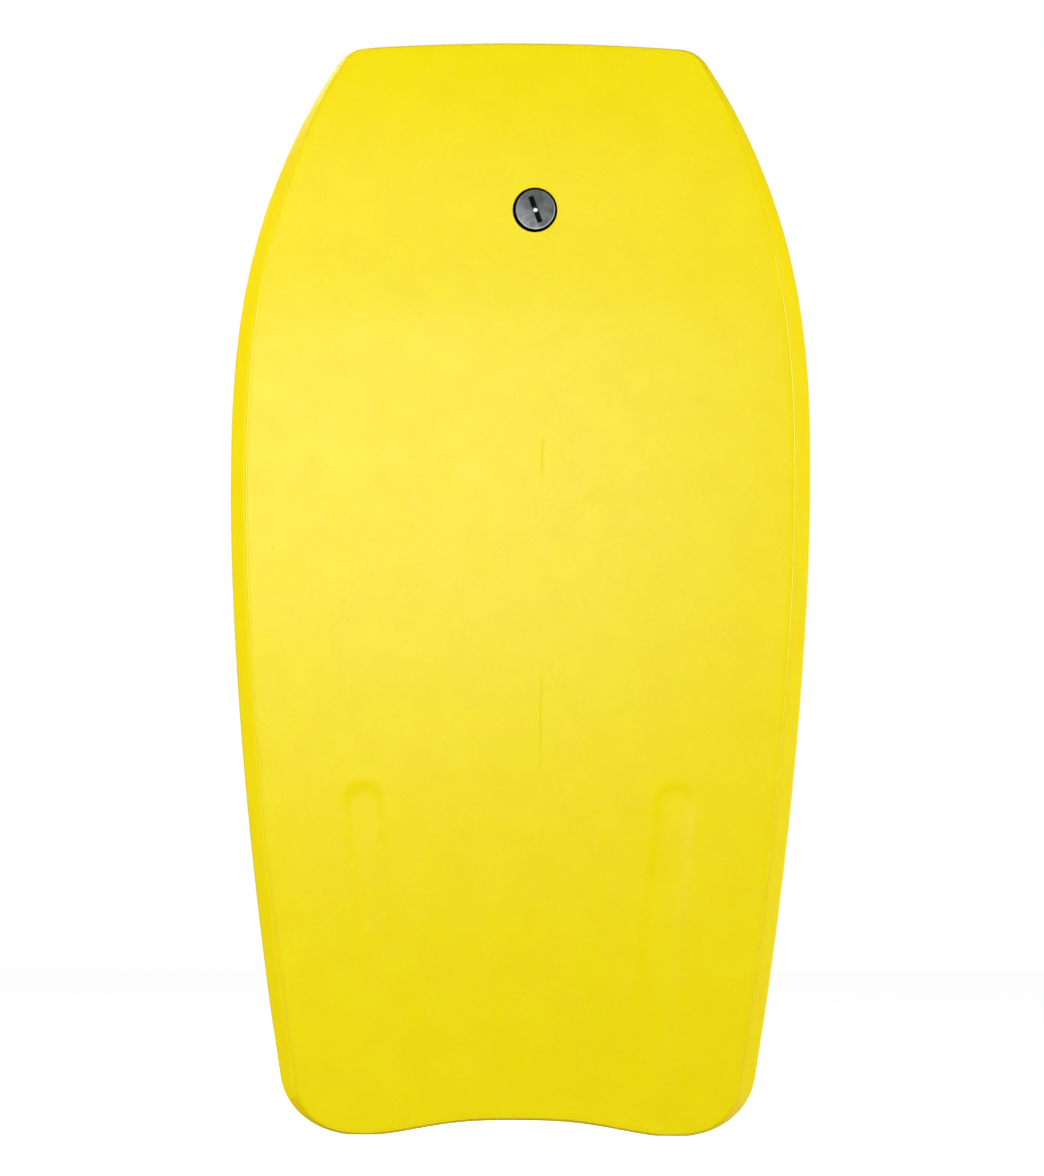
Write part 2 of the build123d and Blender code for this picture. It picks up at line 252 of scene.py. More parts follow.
def half_outline():
    """The right half of the board square on: nose, corner, side, tail tip and crescent."""
    corner = Vector((half_width(NOSE - NOSE_CAMBER), NOSE - NOSE_CAMBER))
    turn_x = corner.x - 0.016
    turn_z = corner.y - 0.012
    last_z = TAIL + 0.050
    nose = [Vector((turn_x * i / 30, 0)) for i in range(31)]
    for point in nose:
        point.y = NOSE - NOSE_CAMBER * (point.x / corner.x) ** 2
    side_start = Vector((half_width(turn_z), turn_z))
    heights = [turn_z + (last_z - turn_z) * i / 200 for i in range(1, 201)]
    side = [Vector((half_width(z), z)) for z in heights]
    tip = Vector((TAIL_TIP_X, TAIL))
    tip_turn = [side[-1], side[-1] + Vector((-0.0048, -0.030)), tip + Vector((0.038, 0)), tip]
    crescent = []
    for step in range(1, 41):
        part = 1 - step / 40
        rise = CRESCENT_DEPTH * (1 - sin(pi / 2 * part ** 1.42) ** 2)
        crescent.append(Vector((tip.x * part, TAIL + rise)))
    return nose + bezier([nose[-1], corner, side_start], 12) + side + bezier(tip_turn, 30) + crescent


def evenly(points, spacing):
    """The same line with its points evenly spaced."""
    lengths = [0.0]
    for a, b in zip(points, points[1:]):
        lengths.append(lengths[-1] + (b - a).length)
    count = round(lengths[-1] / spacing)
    found, index = [], 0
    for step in range(count + 1):
        want = lengths[-1] * step / count
        while index < len(points) - 2 and lengths[index + 1] < want:
            index += 1
        part = (want - lengths[index]) / (lengths[index + 1] - lengths[index])
        found.append(points[index].lerp(points[index + 1], part))
    return found


def cut_at_height(points, height):
    """Cuts a falling line in two at a height."""
    index = next(i for i, point in enumerate(points) if point.y < height)
    above, below = points[index - 1], points[index]
    cut = above.lerp(below, (above.y - height) / (above.y - below.y))
    return points[:index] + [cut], [cut] + points[index:]


def whole_outline(spacing):
    """The closed outline as (point, inward direction) pairs, clockwise from the nose's middle."""
    nose, rest = cut_at_height(half_outline(), NOSE_BAND_START)
    side, tail = cut_at_height(rest, TAIL_BAND_START)
    right = evenly(nose, spacing)[:-1] + evenly(side, spacing)[:-1] + evenly(tail, spacing)
    points = right + [Vector((-p.x, p.y)) for p in reversed(right[1:-1])]
    found = []
    for index, point in enumerate(points):
        along = points[(index + 1) % len(points)] - points[index - 1]
        along.normalize()
        found.append((point, Vector((along.y, -along.x))))
    return found


def bevel_width(point, inward, at_side, at_nose, at_tail):
    """How wide a bevel is: full along the sides, narrower by the nose and round the corners."""
    at_end = at_nose if inward.y < 0 else at_tail
    sideways = max(0.0, (abs(inward.x) - 0.25) / 0.75)
    narrowed = 1 - 0.6 * smooth(NOSE - 0.130, NOSE - 0.014, point.y)
    return at_end + (at_side * narrowed - at_end) * sideways ** 1.8


def at(point, inward, inset, face, lift=0.0):
    """A 3D point inset from the outline, on a face, lifted along +Y."""
    spot = point + inward * inset
    return Vector((spot.x, face(spot.y) + lift, spot.y))


# ------------------------------------------------------------------ meshes
def grid_object(name, rows, around=False, tube=False):
    """A mesh from equal rows of points; around joins the last row to the first, tube closes each row."""
    mesh = bmesh.new()
    made = [[mesh.verts.new(p) for p in row] for row in rows]
    pairs = list(zip(made, made[1:])) + ([(made[-1], made[0])] if around else [])
    width = len(rows[0])
    for first, second in pairs:
        for k in range(width if tube else width - 1):
            after = (k + 1) % width
            mesh.faces.new((first[k], second[k], second[after], first[after]))
    if tube and not around:
        mesh.faces.new(made[0])
        mesh.faces.new(reversed(made[-1]))
    bmesh.ops.remove_doubles(mesh, verts=mesh.verts, dist=2e-6)
    bmesh.ops.recalc_face_normals(mesh, faces=mesh.faces)
    data = bpy.data.meshes.new(name)
    mesh.to_mesh(data)
    mesh.free()
    data.shade_smooth()
    piece = bpy.data.objects.new(name, data)
    bpy.context.scene.collection.objects.link(piece)
    return piece


def apply_modifiers(piece):
    """Bakes a piece's modifiers into its mesh."""
    shape = piece.evaluated_get(bpy.context.evaluated_depsgraph_get())
    data = bpy.data.meshes.new_from_object(shape)
    piece.modifiers.clear()
    piece.data = data


def thicken(piece, thickness):
    """Gives a sheet its thickness, inwards."""
    solid = piece.modifiers.new("thickness", "SOLIDIFY")
    solid.thickness = thickness
    solid.offset = -1
    apply_modifiers(piece)


def cut_round_hole(piece, centre, radius):
    """Cuts a round hole through a sheet along Y."""
    rows = []
    for y in (-0.1, 0.1):
        turns = [tau * i / 96 for i in range(96)]
        rows.append([Vector((centre.x + radius * cos(a), y, centre.z + radius * sin(a))) for a in turns])
    cutter = grid_object("cutter", rows, tube=True)
    cut = piece.modifiers.new("hole", "BOOLEAN")
    cut.operation = "DIFFERENCE"
    cut.object = cutter
    cut.solver = "EXACT"
    apply_modifiers(piece)
    bpy.data.objects.remove(cutter)


def sharpen(piece, degrees):
    """Smooth shading that breaks at edges sharper than the angle."""
    piece.data.set_sharp_from_angle(angle=radians(degrees))


def seat_lip(name, centre, radius, face, outward):
    """The rolled lip that the hot cutter leaves round a plug's seat; outward is -1 or 1 along Y."""
    profile = [(-0.10, -1.3), (-0.08, -0.5), (0.05, -0.10), (0.30, 0.12), (0.75, 0.20), (1.4, 0.13)]
    profile += [(2.1, 0.04), (2.8, -0.10), (2.6, -1.0), (1.0, -1.3)]
    rows = []
    for i in range(120):
        turn = tau * i / 120
        row = []
        for away, height in profile:
            reach = radius + away * MM
            spot = Vector((centre.x + reach * cos(turn), centre.z + reach * sin(turn)))
            row.append(Vector((spot.x, face(spot.y) + outward * height * MM, spot.y)))
        rows.append(row)
    return grid_object(name, rows, around=True, tube=True)


# ------------------------------------------------------------------ the sheets
def channel_depth(spot, deepest):
    """How deep the two tail channels are at a spot: rounded at the top, shallower at the tail."""
    spot = Vector((abs(spot.x), spot.y))
    run = CHANNEL_TAIL - CHANNEL_TOP
    along = (spot - CHANNEL_TOP).dot(run) / run.length_squared
    away = (spot - CHANNEL_TOP - run * max(0.0, along)).length
    wall = 1 - smooth(CHANNEL_FLOOR_HALF, CHANNEL_REACH, away)
    return deepest * (1 - 0.72 * min(1.0, max(0.0, along))) * wall


def spoke(edge, columns):
    """Parts of the way from the sheet's edge to its spine, closer together at the channel's walls."""
    reach = max(edge.x if edge.x > 0 else -edge.x, 0.15)
    lean = (CHANNEL_TAIL.x - CHANNEL_TOP.x) / (CHANNEL_TAIL.y - CHANNEL_TOP.y)
    channel = min((CHANNEL_TOP.x + lean * (edge.y - CHANNEL_TOP.y)) / reach, 0.66)
    stops = [1.0, channel + 0.022 / reach, channel + 0.011 / reach, channel - 0.011 / reach]
    stops += [channel - 0.022 / reach, 0.0]
    found = []
    for (a, b), count in zip(zip(stops, stops[1:]), columns):
        found += [1 - (a + (b - a) * (i + 1) / count) for i in range(count)]
    return found


def sheet_object(name, outline, edge_profile, face, relief, columns):
    """A sheet that covers one side of the board: its rounded edge, then spokes to the spine."""
    rows = []
    for point, inward in outline:
        row = [at(point, inward, inset, face, lift) for inset, lift in edge_profile(point, inward)]
        edge = Vector((row[-1].x, row[-1].z))
        spine = Vector((0.0, min(SPINE[1], max(SPINE[0], edge.y))))
        for part in spoke(edge, columns):
            spot = edge.lerp(spine, part)
            row.append(Vector((spot.x, face(spot.y) + relief(spot), spot.y)))
        rows.append(row)
    return grid_object(name, rows, around=True)


# ------------------------------------------------------------------ the strips
def edge_curve(point, inward, look):
    """The board's edge in section, from the slick sheet's edge round the widest line to the deck's."""
    low = bevel_width(point, inward, look.chine, look.nose_chine, look.tail_chine)
    high = bevel_width(point, inward, look.deck_bevel, look.end_deck_bevel, look.end_deck_bevel)
    start = at(point, inward, low - low * look.slick_sheet / (THICKNESS / 2), slick_y, look.slick_sheet)
    end = at(point, inward, high - high * look.deck_sheet / (THICKNESS / 2), deck_y, -look.deck_sheet)
    corner = at(point, inward, -look.edge_softness * 0.27, widest_y)
    before = corner + (start - corner).normalized() * look.edge_softness
    after = corner + (end - corner).normalized() * look.edge_softness
    lower = [start.lerp(before, i / 5) for i in range(6)]
    turn = bezier([before, corner, after], 12)
    upper = [after.lerp(end, i / 5) for i in range(1, 6)]
    return lower + turn[:6], turn[5:] + upper


def strip_object(name, stretch, look, halves):
    """A foam strip along a stretch of the outline, with softened long edges."""
    rows = []
    for point, inward in stretch:
        lower, upper = edge_curve(point, inward, look)
        outer = {"lower": lower, "upper": upper, "both": lower + upper[1:]}[halves]
        inwards = Vector((inward.x, 0, inward.y))
        outer = [p.copy() for p in outer]
        for index, seam in ((0, 1.0), (-1, 1.0), (1, 0.12), (-2, 0.12)):
            outer[index] += inwards * look.seam * seam
        back = [outer[-1] + inwards * 0.006, outer[0] + inwards * 0.006]
        rows.append(outer + back)
    for end, beside in ((0, 1), (-1, -2)):
        near = [a.lerp(b, 0.2) for a, b in zip(rows[end], rows[beside])]
        _, inward = stretch[end]
        rows[end] = [p + Vector((inward.x, 0, inward.y)) * look.seam / 5 for p in rows[end]]
        rows.insert(1 if end == 0 else len(rows) - 1, near)
    return grid_object(name, rows, tube=True)


def finish_piece(piece, material, slot, *nodes):
    """Dresses a piece, hangs it on the board's body and lets it stand for its CAD nodes."""
    piece.data.materials.clear()
    piece.data.materials.append(material)
    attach(piece, "board")
    if nodes:
        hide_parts(*nodes)
    return piece


def dress_node(name, material):
    """Gives a CAD node a better material."""
    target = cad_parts[name]
    target.data.materials.clear()
    target.data.materials.append(material)


# ------------------------------------------------------------------ materials
def calendered_polyethylene(look):
    """High-density polyethylene sheet, calendered: smooth and waxy, with a broad soft sheen."""
    material, tree, shader, place = new_material("calendered_polyethylene")
    shader.inputs["IOR"].default_value = 1.5
    shader.inputs["Specular IOR Level"].default_value = 0.35
    # Heat lamination leaves the sheet a little uneven, so its sheen breaks into soft blotches.
    blotch = noise(tree, place, 34, 3.0)
    tree.links.new(tint(tree, blotch, look.slick_code, look.slick_light_code), shader.inputs["Base Color"])
    tree.links.new(spread(tree, noise(tree, place, 22, 4.0), 0.24, 0.30), shader.inputs["Roughness"])
    wave = bump(tree, noise(tree, place, 60, 2.0), 0.25)
    grain = bump(tree, noise(tree, place, 2.4, 3.0), 0.012, wave)
    # The core's bead lines print through as short creases beside the stringer, and grit as specks.
    axes = node(tree, "ShaderNodeSeparateXYZ", links={"Vector": place}).outputs
    wander = spread(tree, noise(tree, place, 40), -1.0 * MM, 1.0 * MM)
    off_line = calculate(tree, "ABSOLUTE", calculate(tree, "SUBTRACT", axes["X"],
                                                     calculate(tree, "ADD", wander, CREASE_X)))
    line = spread(tree, off_line, 1.0, 0.0, 0.2 * MM, 1.1 * MM)
    upper = crease_stretch(tree, axes["Z"], UPPER_CREASE)
    lower = crease_stretch(tree, axes["Z"], LOWER_CREASE)
    crease = calculate(tree, "MULTIPLY", line, calculate(tree, "MAXIMUM", upper, lower))
    creased = bump(tree, crease, -0.25, grain)
    specks = node(tree, "ShaderNodeTexVoronoi", {"Scale": 1000 / 26}, {"Vector": place})
    speck = spread(tree, specks.outputs["Distance"], 1.0, 0.0, 0.015, 0.035)
    tree.links.new(bump(tree, speck, 0.3, creased), shader.inputs["Normal"])
    return material


def crease_stretch(tree, height, stretch):
    """1 between two heights, fading to 0 over 6 mm beyond each."""
    low, high = stretch
    rising = spread(tree, height, 0.0, 1.0, low - 6 * MM, low)
    falling = spread(tree, height, 1.0, 0.0, high, high + 6 * MM)
    return calculate(tree, "MULTIPLY", rising, falling)


def embossed_foam_skin(look):
    """Cross-linked polyethylene foam skin, embossed by the laminating roller: matt, fine cross-hatch."""
    material, tree, shader, place = new_material("embossed_foam_skin")
    shader.inputs["IOR"].default_value = 1.45
    shader.inputs["Roughness"].default_value = 0.62
    tree.links.new(tint(tree, noise(tree, place, 45, 3.0), look.deck_code, look.deck_light_code),
                   shader.inputs["Base Color"])
    # The roller's hatch is 1.6 mm apart; drawn at 3 mm so that it shows.
    axes = node(tree, "ShaderNodeSeparateXYZ", links={"Vector": place}).outputs
    first = calculate(tree, "ADD", axes["X"], axes["Z"])
    second = calculate(tree, "SUBTRACT", axes["X"], axes["Z"])
    ribs = [calculate(tree, "SINE", calculate(tree, "MULTIPLY", way, tau / (3 * MM * 1.414)))
            for way in (first, second)]
    hatch = calculate(tree, "MAXIMUM", *ribs)
    lines = bump(tree, hatch, 0.10)
    tree.links.new(bump(tree, noise(tree, place, 1.2, 2.0), 0.05, lines), shader.inputs["Normal"])
    return material


def heat_sealed_foam(name, dark, light):
    """Closed-cell foam strip, its skin sealed by a hot plate: even, softly satin, faintly pitted."""
    material, tree, shader, place = new_material(name)
    shader.inputs["IOR"].default_value = 1.45
    tree.links.new(tint(tree, noise(tree, place, 30, 3.0), dark, light), shader.inputs["Base Color"])
    tree.links.new(spread(tree, noise(tree, place, 9, 3.0), 0.48, 0.60), shader.inputs["Roughness"])
    shader.inputs["Specular IOR Level"].default_value = 0.2
    dents = bump(tree, noise(tree, place, 18, 2.0), 0.10)
    tree.links.new(bump(tree, noise(tree, place, 1.6, 2.0), 0.02, dents), shader.inputs["Normal"])
    return material


def beaded_foam():
    """Expanded foam core, cut with a hot wire: pale cells about 1.5 mm across."""
    material, tree, shader, place = new_material("expanded_foam_cut")
    cells = node(tree, "ShaderNodeTexVoronoi", {"Scale": 1000 / 1.5}, {"Vector": place}).outputs["Distance"]
    tree.links.new(tint(tree, cells, CORE_WHITE, CORE_SHADE), shader.inputs["Base Color"])
    shader.inputs["Roughness"].default_value = 0.85
    tree.links.new(bump(tree, cells, 0.2), shader.inputs["Normal"])
    return material


def pultruded_glass_fibre():
    """Glass fibre and resin, pulled through a die: dark, glossy, with fine lengthwise fibres."""
    material, tree, shader, place = new_material("pultruded_glass_fibre")
    fine = node(tree, "ShaderNodeMapping", {"Scale": (1.0, 1.0, 0.02)}, {"Vector": place}).outputs["Vector"]
    fibres = noise(tree, fine, 0.6, 2.0)
    tree.links.new(tint(tree, fibres, FIBRE_BLACK, FIBRE_GREY), shader.inputs["Base Color"])
    shader.inputs["Roughness"].default_value = 0.32
    tree.links.new(bump(tree, fibres, 0.03), shader.inputs["Normal"])
    return material


def moulded_abs(look):
    """Injection-moulded ABS: dark grey, semi-gloss, faintly clouded by the melt, with a painted sheen on its
    sides.
    """
    material, tree, shader, place = new_material("moulded_abs")
    shader.inputs["IOR"].default_value = 1.54
    # Painted light and shade: the sides are painted lighter as a painted sheen, the lower part of the rim
    # gets a painted highlight, and the slot, the bore and the disc's outer edge are painted black as painted
    # shade.
    axes = node(tree, "ShaderNodeSeparateXYZ", links={"Vector": place}).outputs
    away_x = calculate(tree, "SUBTRACT", axes["X"], NUT.x)
    away_z = calculate(tree, "SUBTRACT", axes["Z"], NUT.z)
    # Painted sheen: the face is painted lighter away from the slot towards its left and right sides, added to
    # the melt's clouding.
    aside = calculate(tree, "ABSOLUTE", calculate(tree, "ADD", away_x, 1.5 * MM))
    painted_sheen = spread(tree, aside, -0.26, 0.14, 2 * MM, 13 * MM)
    cloud_and_sheen = calculate(tree, "ADD", noise(tree, place, 8, 4.0, 0.6), painted_sheen)
    cloud_and_sheen_grey = tint(tree, cloud_and_sheen, look.plug_code, look.plug_light_code)
    away = calculate(tree, "SQRT", calculate(tree, "ADD", calculate(tree, "MULTIPLY", away_x, away_x),
                                             calculate(tree, "MULTIPLY", away_z, away_z)))
    # Painted highlight: a ring just inside the disc's rim is painted light grey, strongest towards the bottom
    # and right.
    downwards = calculate(tree, "SUBTRACT", calculate(tree, "MULTIPLY", away_x, 0.4), away_z)
    towards_bottom = spread(tree, downwards, 0.1, 1.0, -4 * MM, 9 * MM)
    outer = spread(tree, away, 0.0, 1.0, DISC_R - 1.7 * MM, DISC_R - 1.4 * MM)
    rim = calculate(tree, "MULTIPLY", towards_bottom, outer)
    rimmed = mixed(tree, rim, cloud_and_sheen_grey, linear(look.plug_rim_highlight_code))
    # Painted shade: the slot and the bore behind the disc's face are painted near black and lose most of
    # their reflection.
    behind = spread(tree, axes["Y"], 0.0, 1.0, screw_low.y + 0.7 * MM, screw_low.y + 1.1 * MM)
    before = spread(tree, axes["Y"], 1.0, 0.0, nut_high.y - 1.6 * MM, nut_high.y - 1.1 * MM)
    recess_shade = calculate(tree, "MULTIPLY", behind, before)
    # Painted shade: the disc's outer millimetre is painted black, as the shadow ring round the plug.
    edge = spread(tree, away, 0.0, 1.0, DISC_R - 1.0 * MM, DISC_R - 0.7 * MM)
    painted_shade = calculate(tree, "MAXIMUM", recess_shade, edge)
    tree.links.new(mixed(tree, painted_shade, rimmed, linear(SHADE_BLACK)), shader.inputs["Base Color"])
    tree.links.new(calculate(tree, "SUBTRACT", 0.85, calculate(tree, "MULTIPLY", painted_shade, 0.8)),
                   shader.inputs["Specular IOR Level"])
    tree.links.new(spread(tree, noise(tree, place, 5, 3.0), 0.18, 0.34), shader.inputs["Roughness"])
    tree.links.new(bump(tree, noise(tree, place, 1.4, 3.0), 0.02), shader.inputs["Normal"])
    return material


def moulded_rubber():
    """Moulded rubber: black and matt, with a fine bloom."""
    material, tree, shader, place = new_material("moulded_rubber")
    tree.links.new(tint(tree, noise(tree, place, 3, 3.0), RUBBER_BLACK, RUBBER_BLOOM),
                   shader.inputs["Base Color"])
    shader.inputs["Roughness"].default_value = 0.85
    shader.inputs["Specular IOR Level"].default_value = 0.05
    tree.links.new(bump(tree, noise(tree, place, 0.5, 2.0), 0.02), shader.inputs["Normal"])
    return material


def moulded_pvc():
    """Moulded PVC: black, satin, slightly orange-peeled."""
    material, tree, shader, place = new_material("moulded_pvc")
    tree.links.new(tint(tree, noise(tree, place, 4, 2.0), PVC_BLACK, PVC_GREY), shader.inputs["Base Color"])
    shader.inputs["Roughness"].default_value = 0.45
    tree.links.new(bump(tree, noise(tree, place, 1.0, 2.0), 0.03), shader.inputs["Normal"])
    return material


def studio_floor_paint():
    """Matt white floor paint, rolled, lit so brightly that it reads as paper white."""
    material, tree, shader, _ = new_material("rolled_white_paint")
    shader.inputs["Base Color"].default_value = linear(FLOOR_WHITE)
    shader.inputs["Roughness"].default_value = 0.9
    seen = node(tree, "ShaderNodeLightPath").outputs["Is Camera Ray"]
    shader.inputs["Emission Color"].default_value = linear(GLOW_WHITE)
    tree.links.new(calculate(tree, "MULTIPLY", seen, 0.9), shader.inputs["Emission Strength"])
    return material


# ------------------------------------------------------------------ settings
class BoardLook(bpy.types.PropertyGroup):
    chine: bpy.props.FloatProperty(
        name="Chine", description="Width of the bevel on the slick side, along the sides",
        default=0.014, unit="LENGTH")
    nose_chine: bpy.props.FloatProperty(
        name="Chine at the nose", description="Width of the same bevel across the nose",
        default=0.0009, unit="LENGTH")
    tail_chine: bpy.props.FloatProperty(
        name="Chine at the tail", description="Width of the same bevel across the tail",
        default=0.0020, unit="LENGTH")
    deck_bevel: bpy.props.FloatProperty(
        name="Deck bevel", description="Width of the bevel on the deck side, along the sides",
        default=0.020, unit="LENGTH")
    end_deck_bevel: bpy.props.FloatProperty(
        name="Deck bevel at the ends", description="Width of the same bevel across the nose and the tail",
        default=0.006, unit="LENGTH")
    edge_softness: bpy.props.FloatProperty(
        name="Edge softness", description="How far from the widest line the foam starts to round off",
        default=0.008, unit="LENGTH")
    slick_sheet: bpy.props.FloatProperty(
        name="Slick sheet", description="Thickness of the bottom sheet", default=0.0019, unit="LENGTH")
    deck_sheet: bpy.props.FloatProperty(
        name="Deck sheet", description="Thickness of the deck's foam skin", default=0.0030, unit="LENGTH")
    seam: bpy.props.FloatProperty(
        name="Seam", description="How deep the strips' edges dip at a seam", default=0.0005, unit="LENGTH")
    channel_depth: bpy.props.FloatProperty(
        name="Channel depth", description="Depth of the tail channels at their rounded tops",
        default=0.0012, unit="LENGTH")
    slick_code: bpy.props.StringProperty(
        name="Slick yellow", description="Deeper colour of the bottom sheet, sRGB hex", default="#EDD803")
    slick_light_code: bpy.props.StringProperty(
        name="Slick light yellow", description="Lighter colour of the bottom sheet, sRGB hex",
        default="#EFDC06")
    strip_code: bpy.props.StringProperty(
        name="Strip yellow", description="Deeper colour of the side strips, sRGB hex", default="#F4DC02")
    strip_light_code: bpy.props.StringProperty(
        name="Strip light yellow", description="Lighter colour of the side strips, sRGB hex",
        default="#F6E005")
    # The band yellows are a little more orange than the strips: painted shade for the down-facing tail edge.
    band_code: bpy.props.StringProperty(
        name="Band yellow", description="Deeper colour of the nose and tail bands, sRGB hex",
        default="#F3D002")
    band_light_code: bpy.props.StringProperty(
        name="Band light yellow", description="Lighter colour of the nose and tail bands, sRGB hex",
        default="#F5D603")
    deck_code: bpy.props.StringProperty(
        name="Deck yellow", description="Deeper colour of the deck, sRGB hex", default="#F0D206")
    deck_light_code: bpy.props.StringProperty(
        name="Deck light yellow", description="Lighter colour of the deck, sRGB hex", default="#F4D90A")
    plug_code: bpy.props.StringProperty(
        name="Plug grey", description="Darker grey of the leash plug, sRGB hex", default="#141718")
    # This lighter grey is also the painted sheen on the plug's sides.
    plug_light_code: bpy.props.StringProperty(
        name="Plug light grey", description="Lighter grey of the leash plug, sRGB hex", default="#5C6466")
    # Colour of the painted highlight on the plug's lower rim.
    plug_rim_highlight_code: bpy.props.StringProperty(
        name="Plug rim grey", description="Grey of the plug's highlighted rim, sRGB hex", default="#B4B4B8")


class BoardStage(bpy.types.PropertyGroup):
    camera_distance: bpy.props.FloatProperty(
        name="Camera distance", description="From the board's middle", default=14.0, unit="LENGTH")
    camera_aside: bpy.props.FloatProperty(
        name="Camera aside", description="Right of the board's middle", default=0.0016, unit="LENGTH")
    camera_height: bpy.props.FloatProperty(
        name="Camera height", description="Above the board's middle", default=0.0011, unit="LENGTH")
    view_height: bpy.props.FloatProperty(
        name="View height", description="Height of what the camera frames", default=1.0139, unit="LENGTH")
    sheen_power: bpy.props.FloatProperty(
        name="Sheen light", description="Power of the softbox that gives the slick its sheen, in watts",
        default=5.4)
    side_power: bpy.props.FloatProperty(
        name="Side lights", description="Power of each big side softbox, in watts", default=67.2)
    low_power: bpy.props.FloatProperty(
        name="Low light", description="Power of the softbox that lights the tail's edge, in watts",
        default=4.8)
    top_power: bpy.props.FloatProperty(
        name="Top light", description="Power of the softbox that lights the nose's edge, in watts",
        default=7.0)
    ambient: bpy.props.FloatProperty(
        name="Ambient", description="Brightness of the room apart from the lamps", default=0.06)
    roll: bpy.props.FloatProperty(
        name="Roll", description="Lean of the camera about its line of sight", default=radians(-0.28),
        subtype="ANGLE")


# ------------------------------------------------------------------ operators
class BoardOperator:
    """What the board's operators share."""
    bl_options = {"REGISTER", "UNDO"}

    @property
    def look(self):
        return bpy.context.scene.board_look


class OBJECT_OT_board_slick(BoardOperator, bpy.types.Operator):
    """Shape the slick bottom sheet with its channels and the plug's seat"""
    bl_idname = "object.board_slick"
    bl_label = "Slick Sheet"

    def execute(self, context):
        look = self.look

        def edge_profile(point, inward):
            width = bevel_width(point, inward, look.chine, look.nose_chine, look.tail_chine)
            profile = ((-1.0, look.slick_sheet), (-0.5, 0.8 * MM), (0.0, 0.36 * MM),
                       (1.5, 0.12 * MM), (4.0, 0.0))
            return [(width + away * MM, lift) for away, lift in profile]

        def relief(spot):
            return channel_depth(spot, look.channel_depth)

        outline = whole_outline(0.0025)
        sheet = sheet_object("slick_sheet", outline, edge_profile, slick_y, relief, (16, 9, 6, 9, 26))
        thicken(sheet, look.slick_sheet)
        cut_round_hole(sheet, SEAT, SEAT_R)
        sharpen(sheet, 40)
        material = calendered_polyethylene(look)
        finish_piece(sheet, material, "slick", "slick_skin")
        finish_piece(seat_lip("slick_seat_lip", SEAT, SEAT_R, slick_y, -1), material, "slick")
        return {"FINISHED"}


class OBJECT_OT_board_deck(BoardOperator, bpy.types.Operator):
    """Shape the deck's foam skin"""
    bl_idname = "object.board_deck"
    bl_label = "Deck Sheet"

    def execute(self, context):
        look = self.look

        def edge_profile(point, inward):
            width = bevel_width(point, inward, look.deck_bevel, look.end_deck_bevel, look.end_deck_bevel)
            profile = ((-2.3, -look.deck_sheet), (-1.5, -1.7 * MM), (0.0, -0.55 * MM),
                       (2.2, -0.1 * MM), (4.5, 0.0))
            return [(width + away * MM, lift) for away, lift in profile]

        outline = whole_outline(0.004)
        sheet = sheet_object("deck_sheet", outline, edge_profile, deck_y, lambda spot: 0.0, (10, 3, 3, 3, 16))
        thicken(sheet, look.deck_sheet)
        cut_round_hole(sheet, NUT, NUT_SEAT_R)
        sharpen(sheet, 40)
        material = embossed_foam_skin(look)
        finish_piece(sheet, material, "deck", "deck_skin")
        finish_piece(seat_lip("deck_seat_lip", NUT, NUT_SEAT_R, deck_y, 1), material, "deck")
        return {"FINISHED"}


class OBJECT_OT_board_strips(BoardOperator, bpy.types.Operator):
    """Shape the four side strips and the bands across the nose and the tail"""
    bl_idname = "object.board_strips"
    bl_label = "Strips and Bands"

    def execute(self, context):
        look = self.look
        outline = whole_outline(0.004)
        middle = len(outline) // 2
        rotated = outline[middle:] + outline[:middle]
        low, high = TAIL_BAND_START - 0.01 * MM, NOSE_BAND_START + 0.01 * MM
        between = [pair for pair in outline if low < pair[0].y < high]
        sides = {
            "right": [pair for pair in between if pair[0].x > 0],
            "left": [pair for pair in between if pair[0].x < 0],
        }
        sealed = heat_sealed_foam("heat_sealed_foam_strip", look.strip_code, look.strip_light_code)
        # The band material's more orange yellow is painted shade for the tail edge.
        band = heat_sealed_foam("heat_sealed_foam_band", look.band_code, look.band_light_code)
        for side, stretch in sides.items():
            for half in ("lower", "upper"):
                piece = strip_object(f"{side}_{half}_strip", stretch, look, half)
                finish_piece(piece, sealed, "rail", f"{side}_{half}_rail")
        nose = [pair for pair in rotated if pair[0].y > NOSE_BAND_START - 0.01 * MM]
        tail = [pair for pair in outline if pair[0].y < TAIL_BAND_START + 0.01 * MM]
        for name, stretch in (("nose_band", nose), ("tail_band", tail)):
            piece = strip_object(f"{name}_strip", stretch, look, "both")
            finish_piece(piece, band, "band", name)
        return {"FINISHED"}


class OBJECT_OT_board_inner(BoardOperator, bpy.types.Operator):
    """Dress the foam core, the stringer and its caps"""
    bl_idname = "object.board_inner"
    bl_label = "Core and Stringer"

    def execute(self, context):
        dress_node("foam_core", beaded_foam())
        dress_node("stringer_tube", pultruded_glass_fibre())
        cap = moulded_pvc()
        for name in ("stringer_nose_cap", "stringer_tail_cap"):
            dress_node(name, cap)
        return {"FINISHED"}


class OBJECT_OT_board_plug(BoardOperator, bpy.types.Operator):
    """Dress the leash plug's two halves and their rings"""
    bl_idname = "object.board_plug"
    bl_label = "Leash Plug"

    def execute(self, context):
        plastic = moulded_abs(self.look)
        rubber = moulded_rubber()
        for name in ("plug_screw", "plug_nut"):
            dress_node(name, plastic)
        for name in ("plug_gasket", "plug_deck_gasket"):
            dress_node(name, rubber)
        return {"FINISHED"}


def softbox(name, place, aim, size, power):
    """A square area lamp that points at aim and isn't seen itself."""
    data = bpy.data.lights.new(name, "AREA")
    data.shape = "RECTANGLE"
    data.size, data.size_y = size
    data.energy = power
    lamp = bpy.data.objects.new(name, data)
    lamp.location = place
    lamp.rotation_euler = (Vector(aim) - Vector(place)).to_track_quat("-Z", "Y").to_euler()
    lamp.visible_camera = False
    bpy.context.scene.collection.objects.link(lamp)
    return lamp


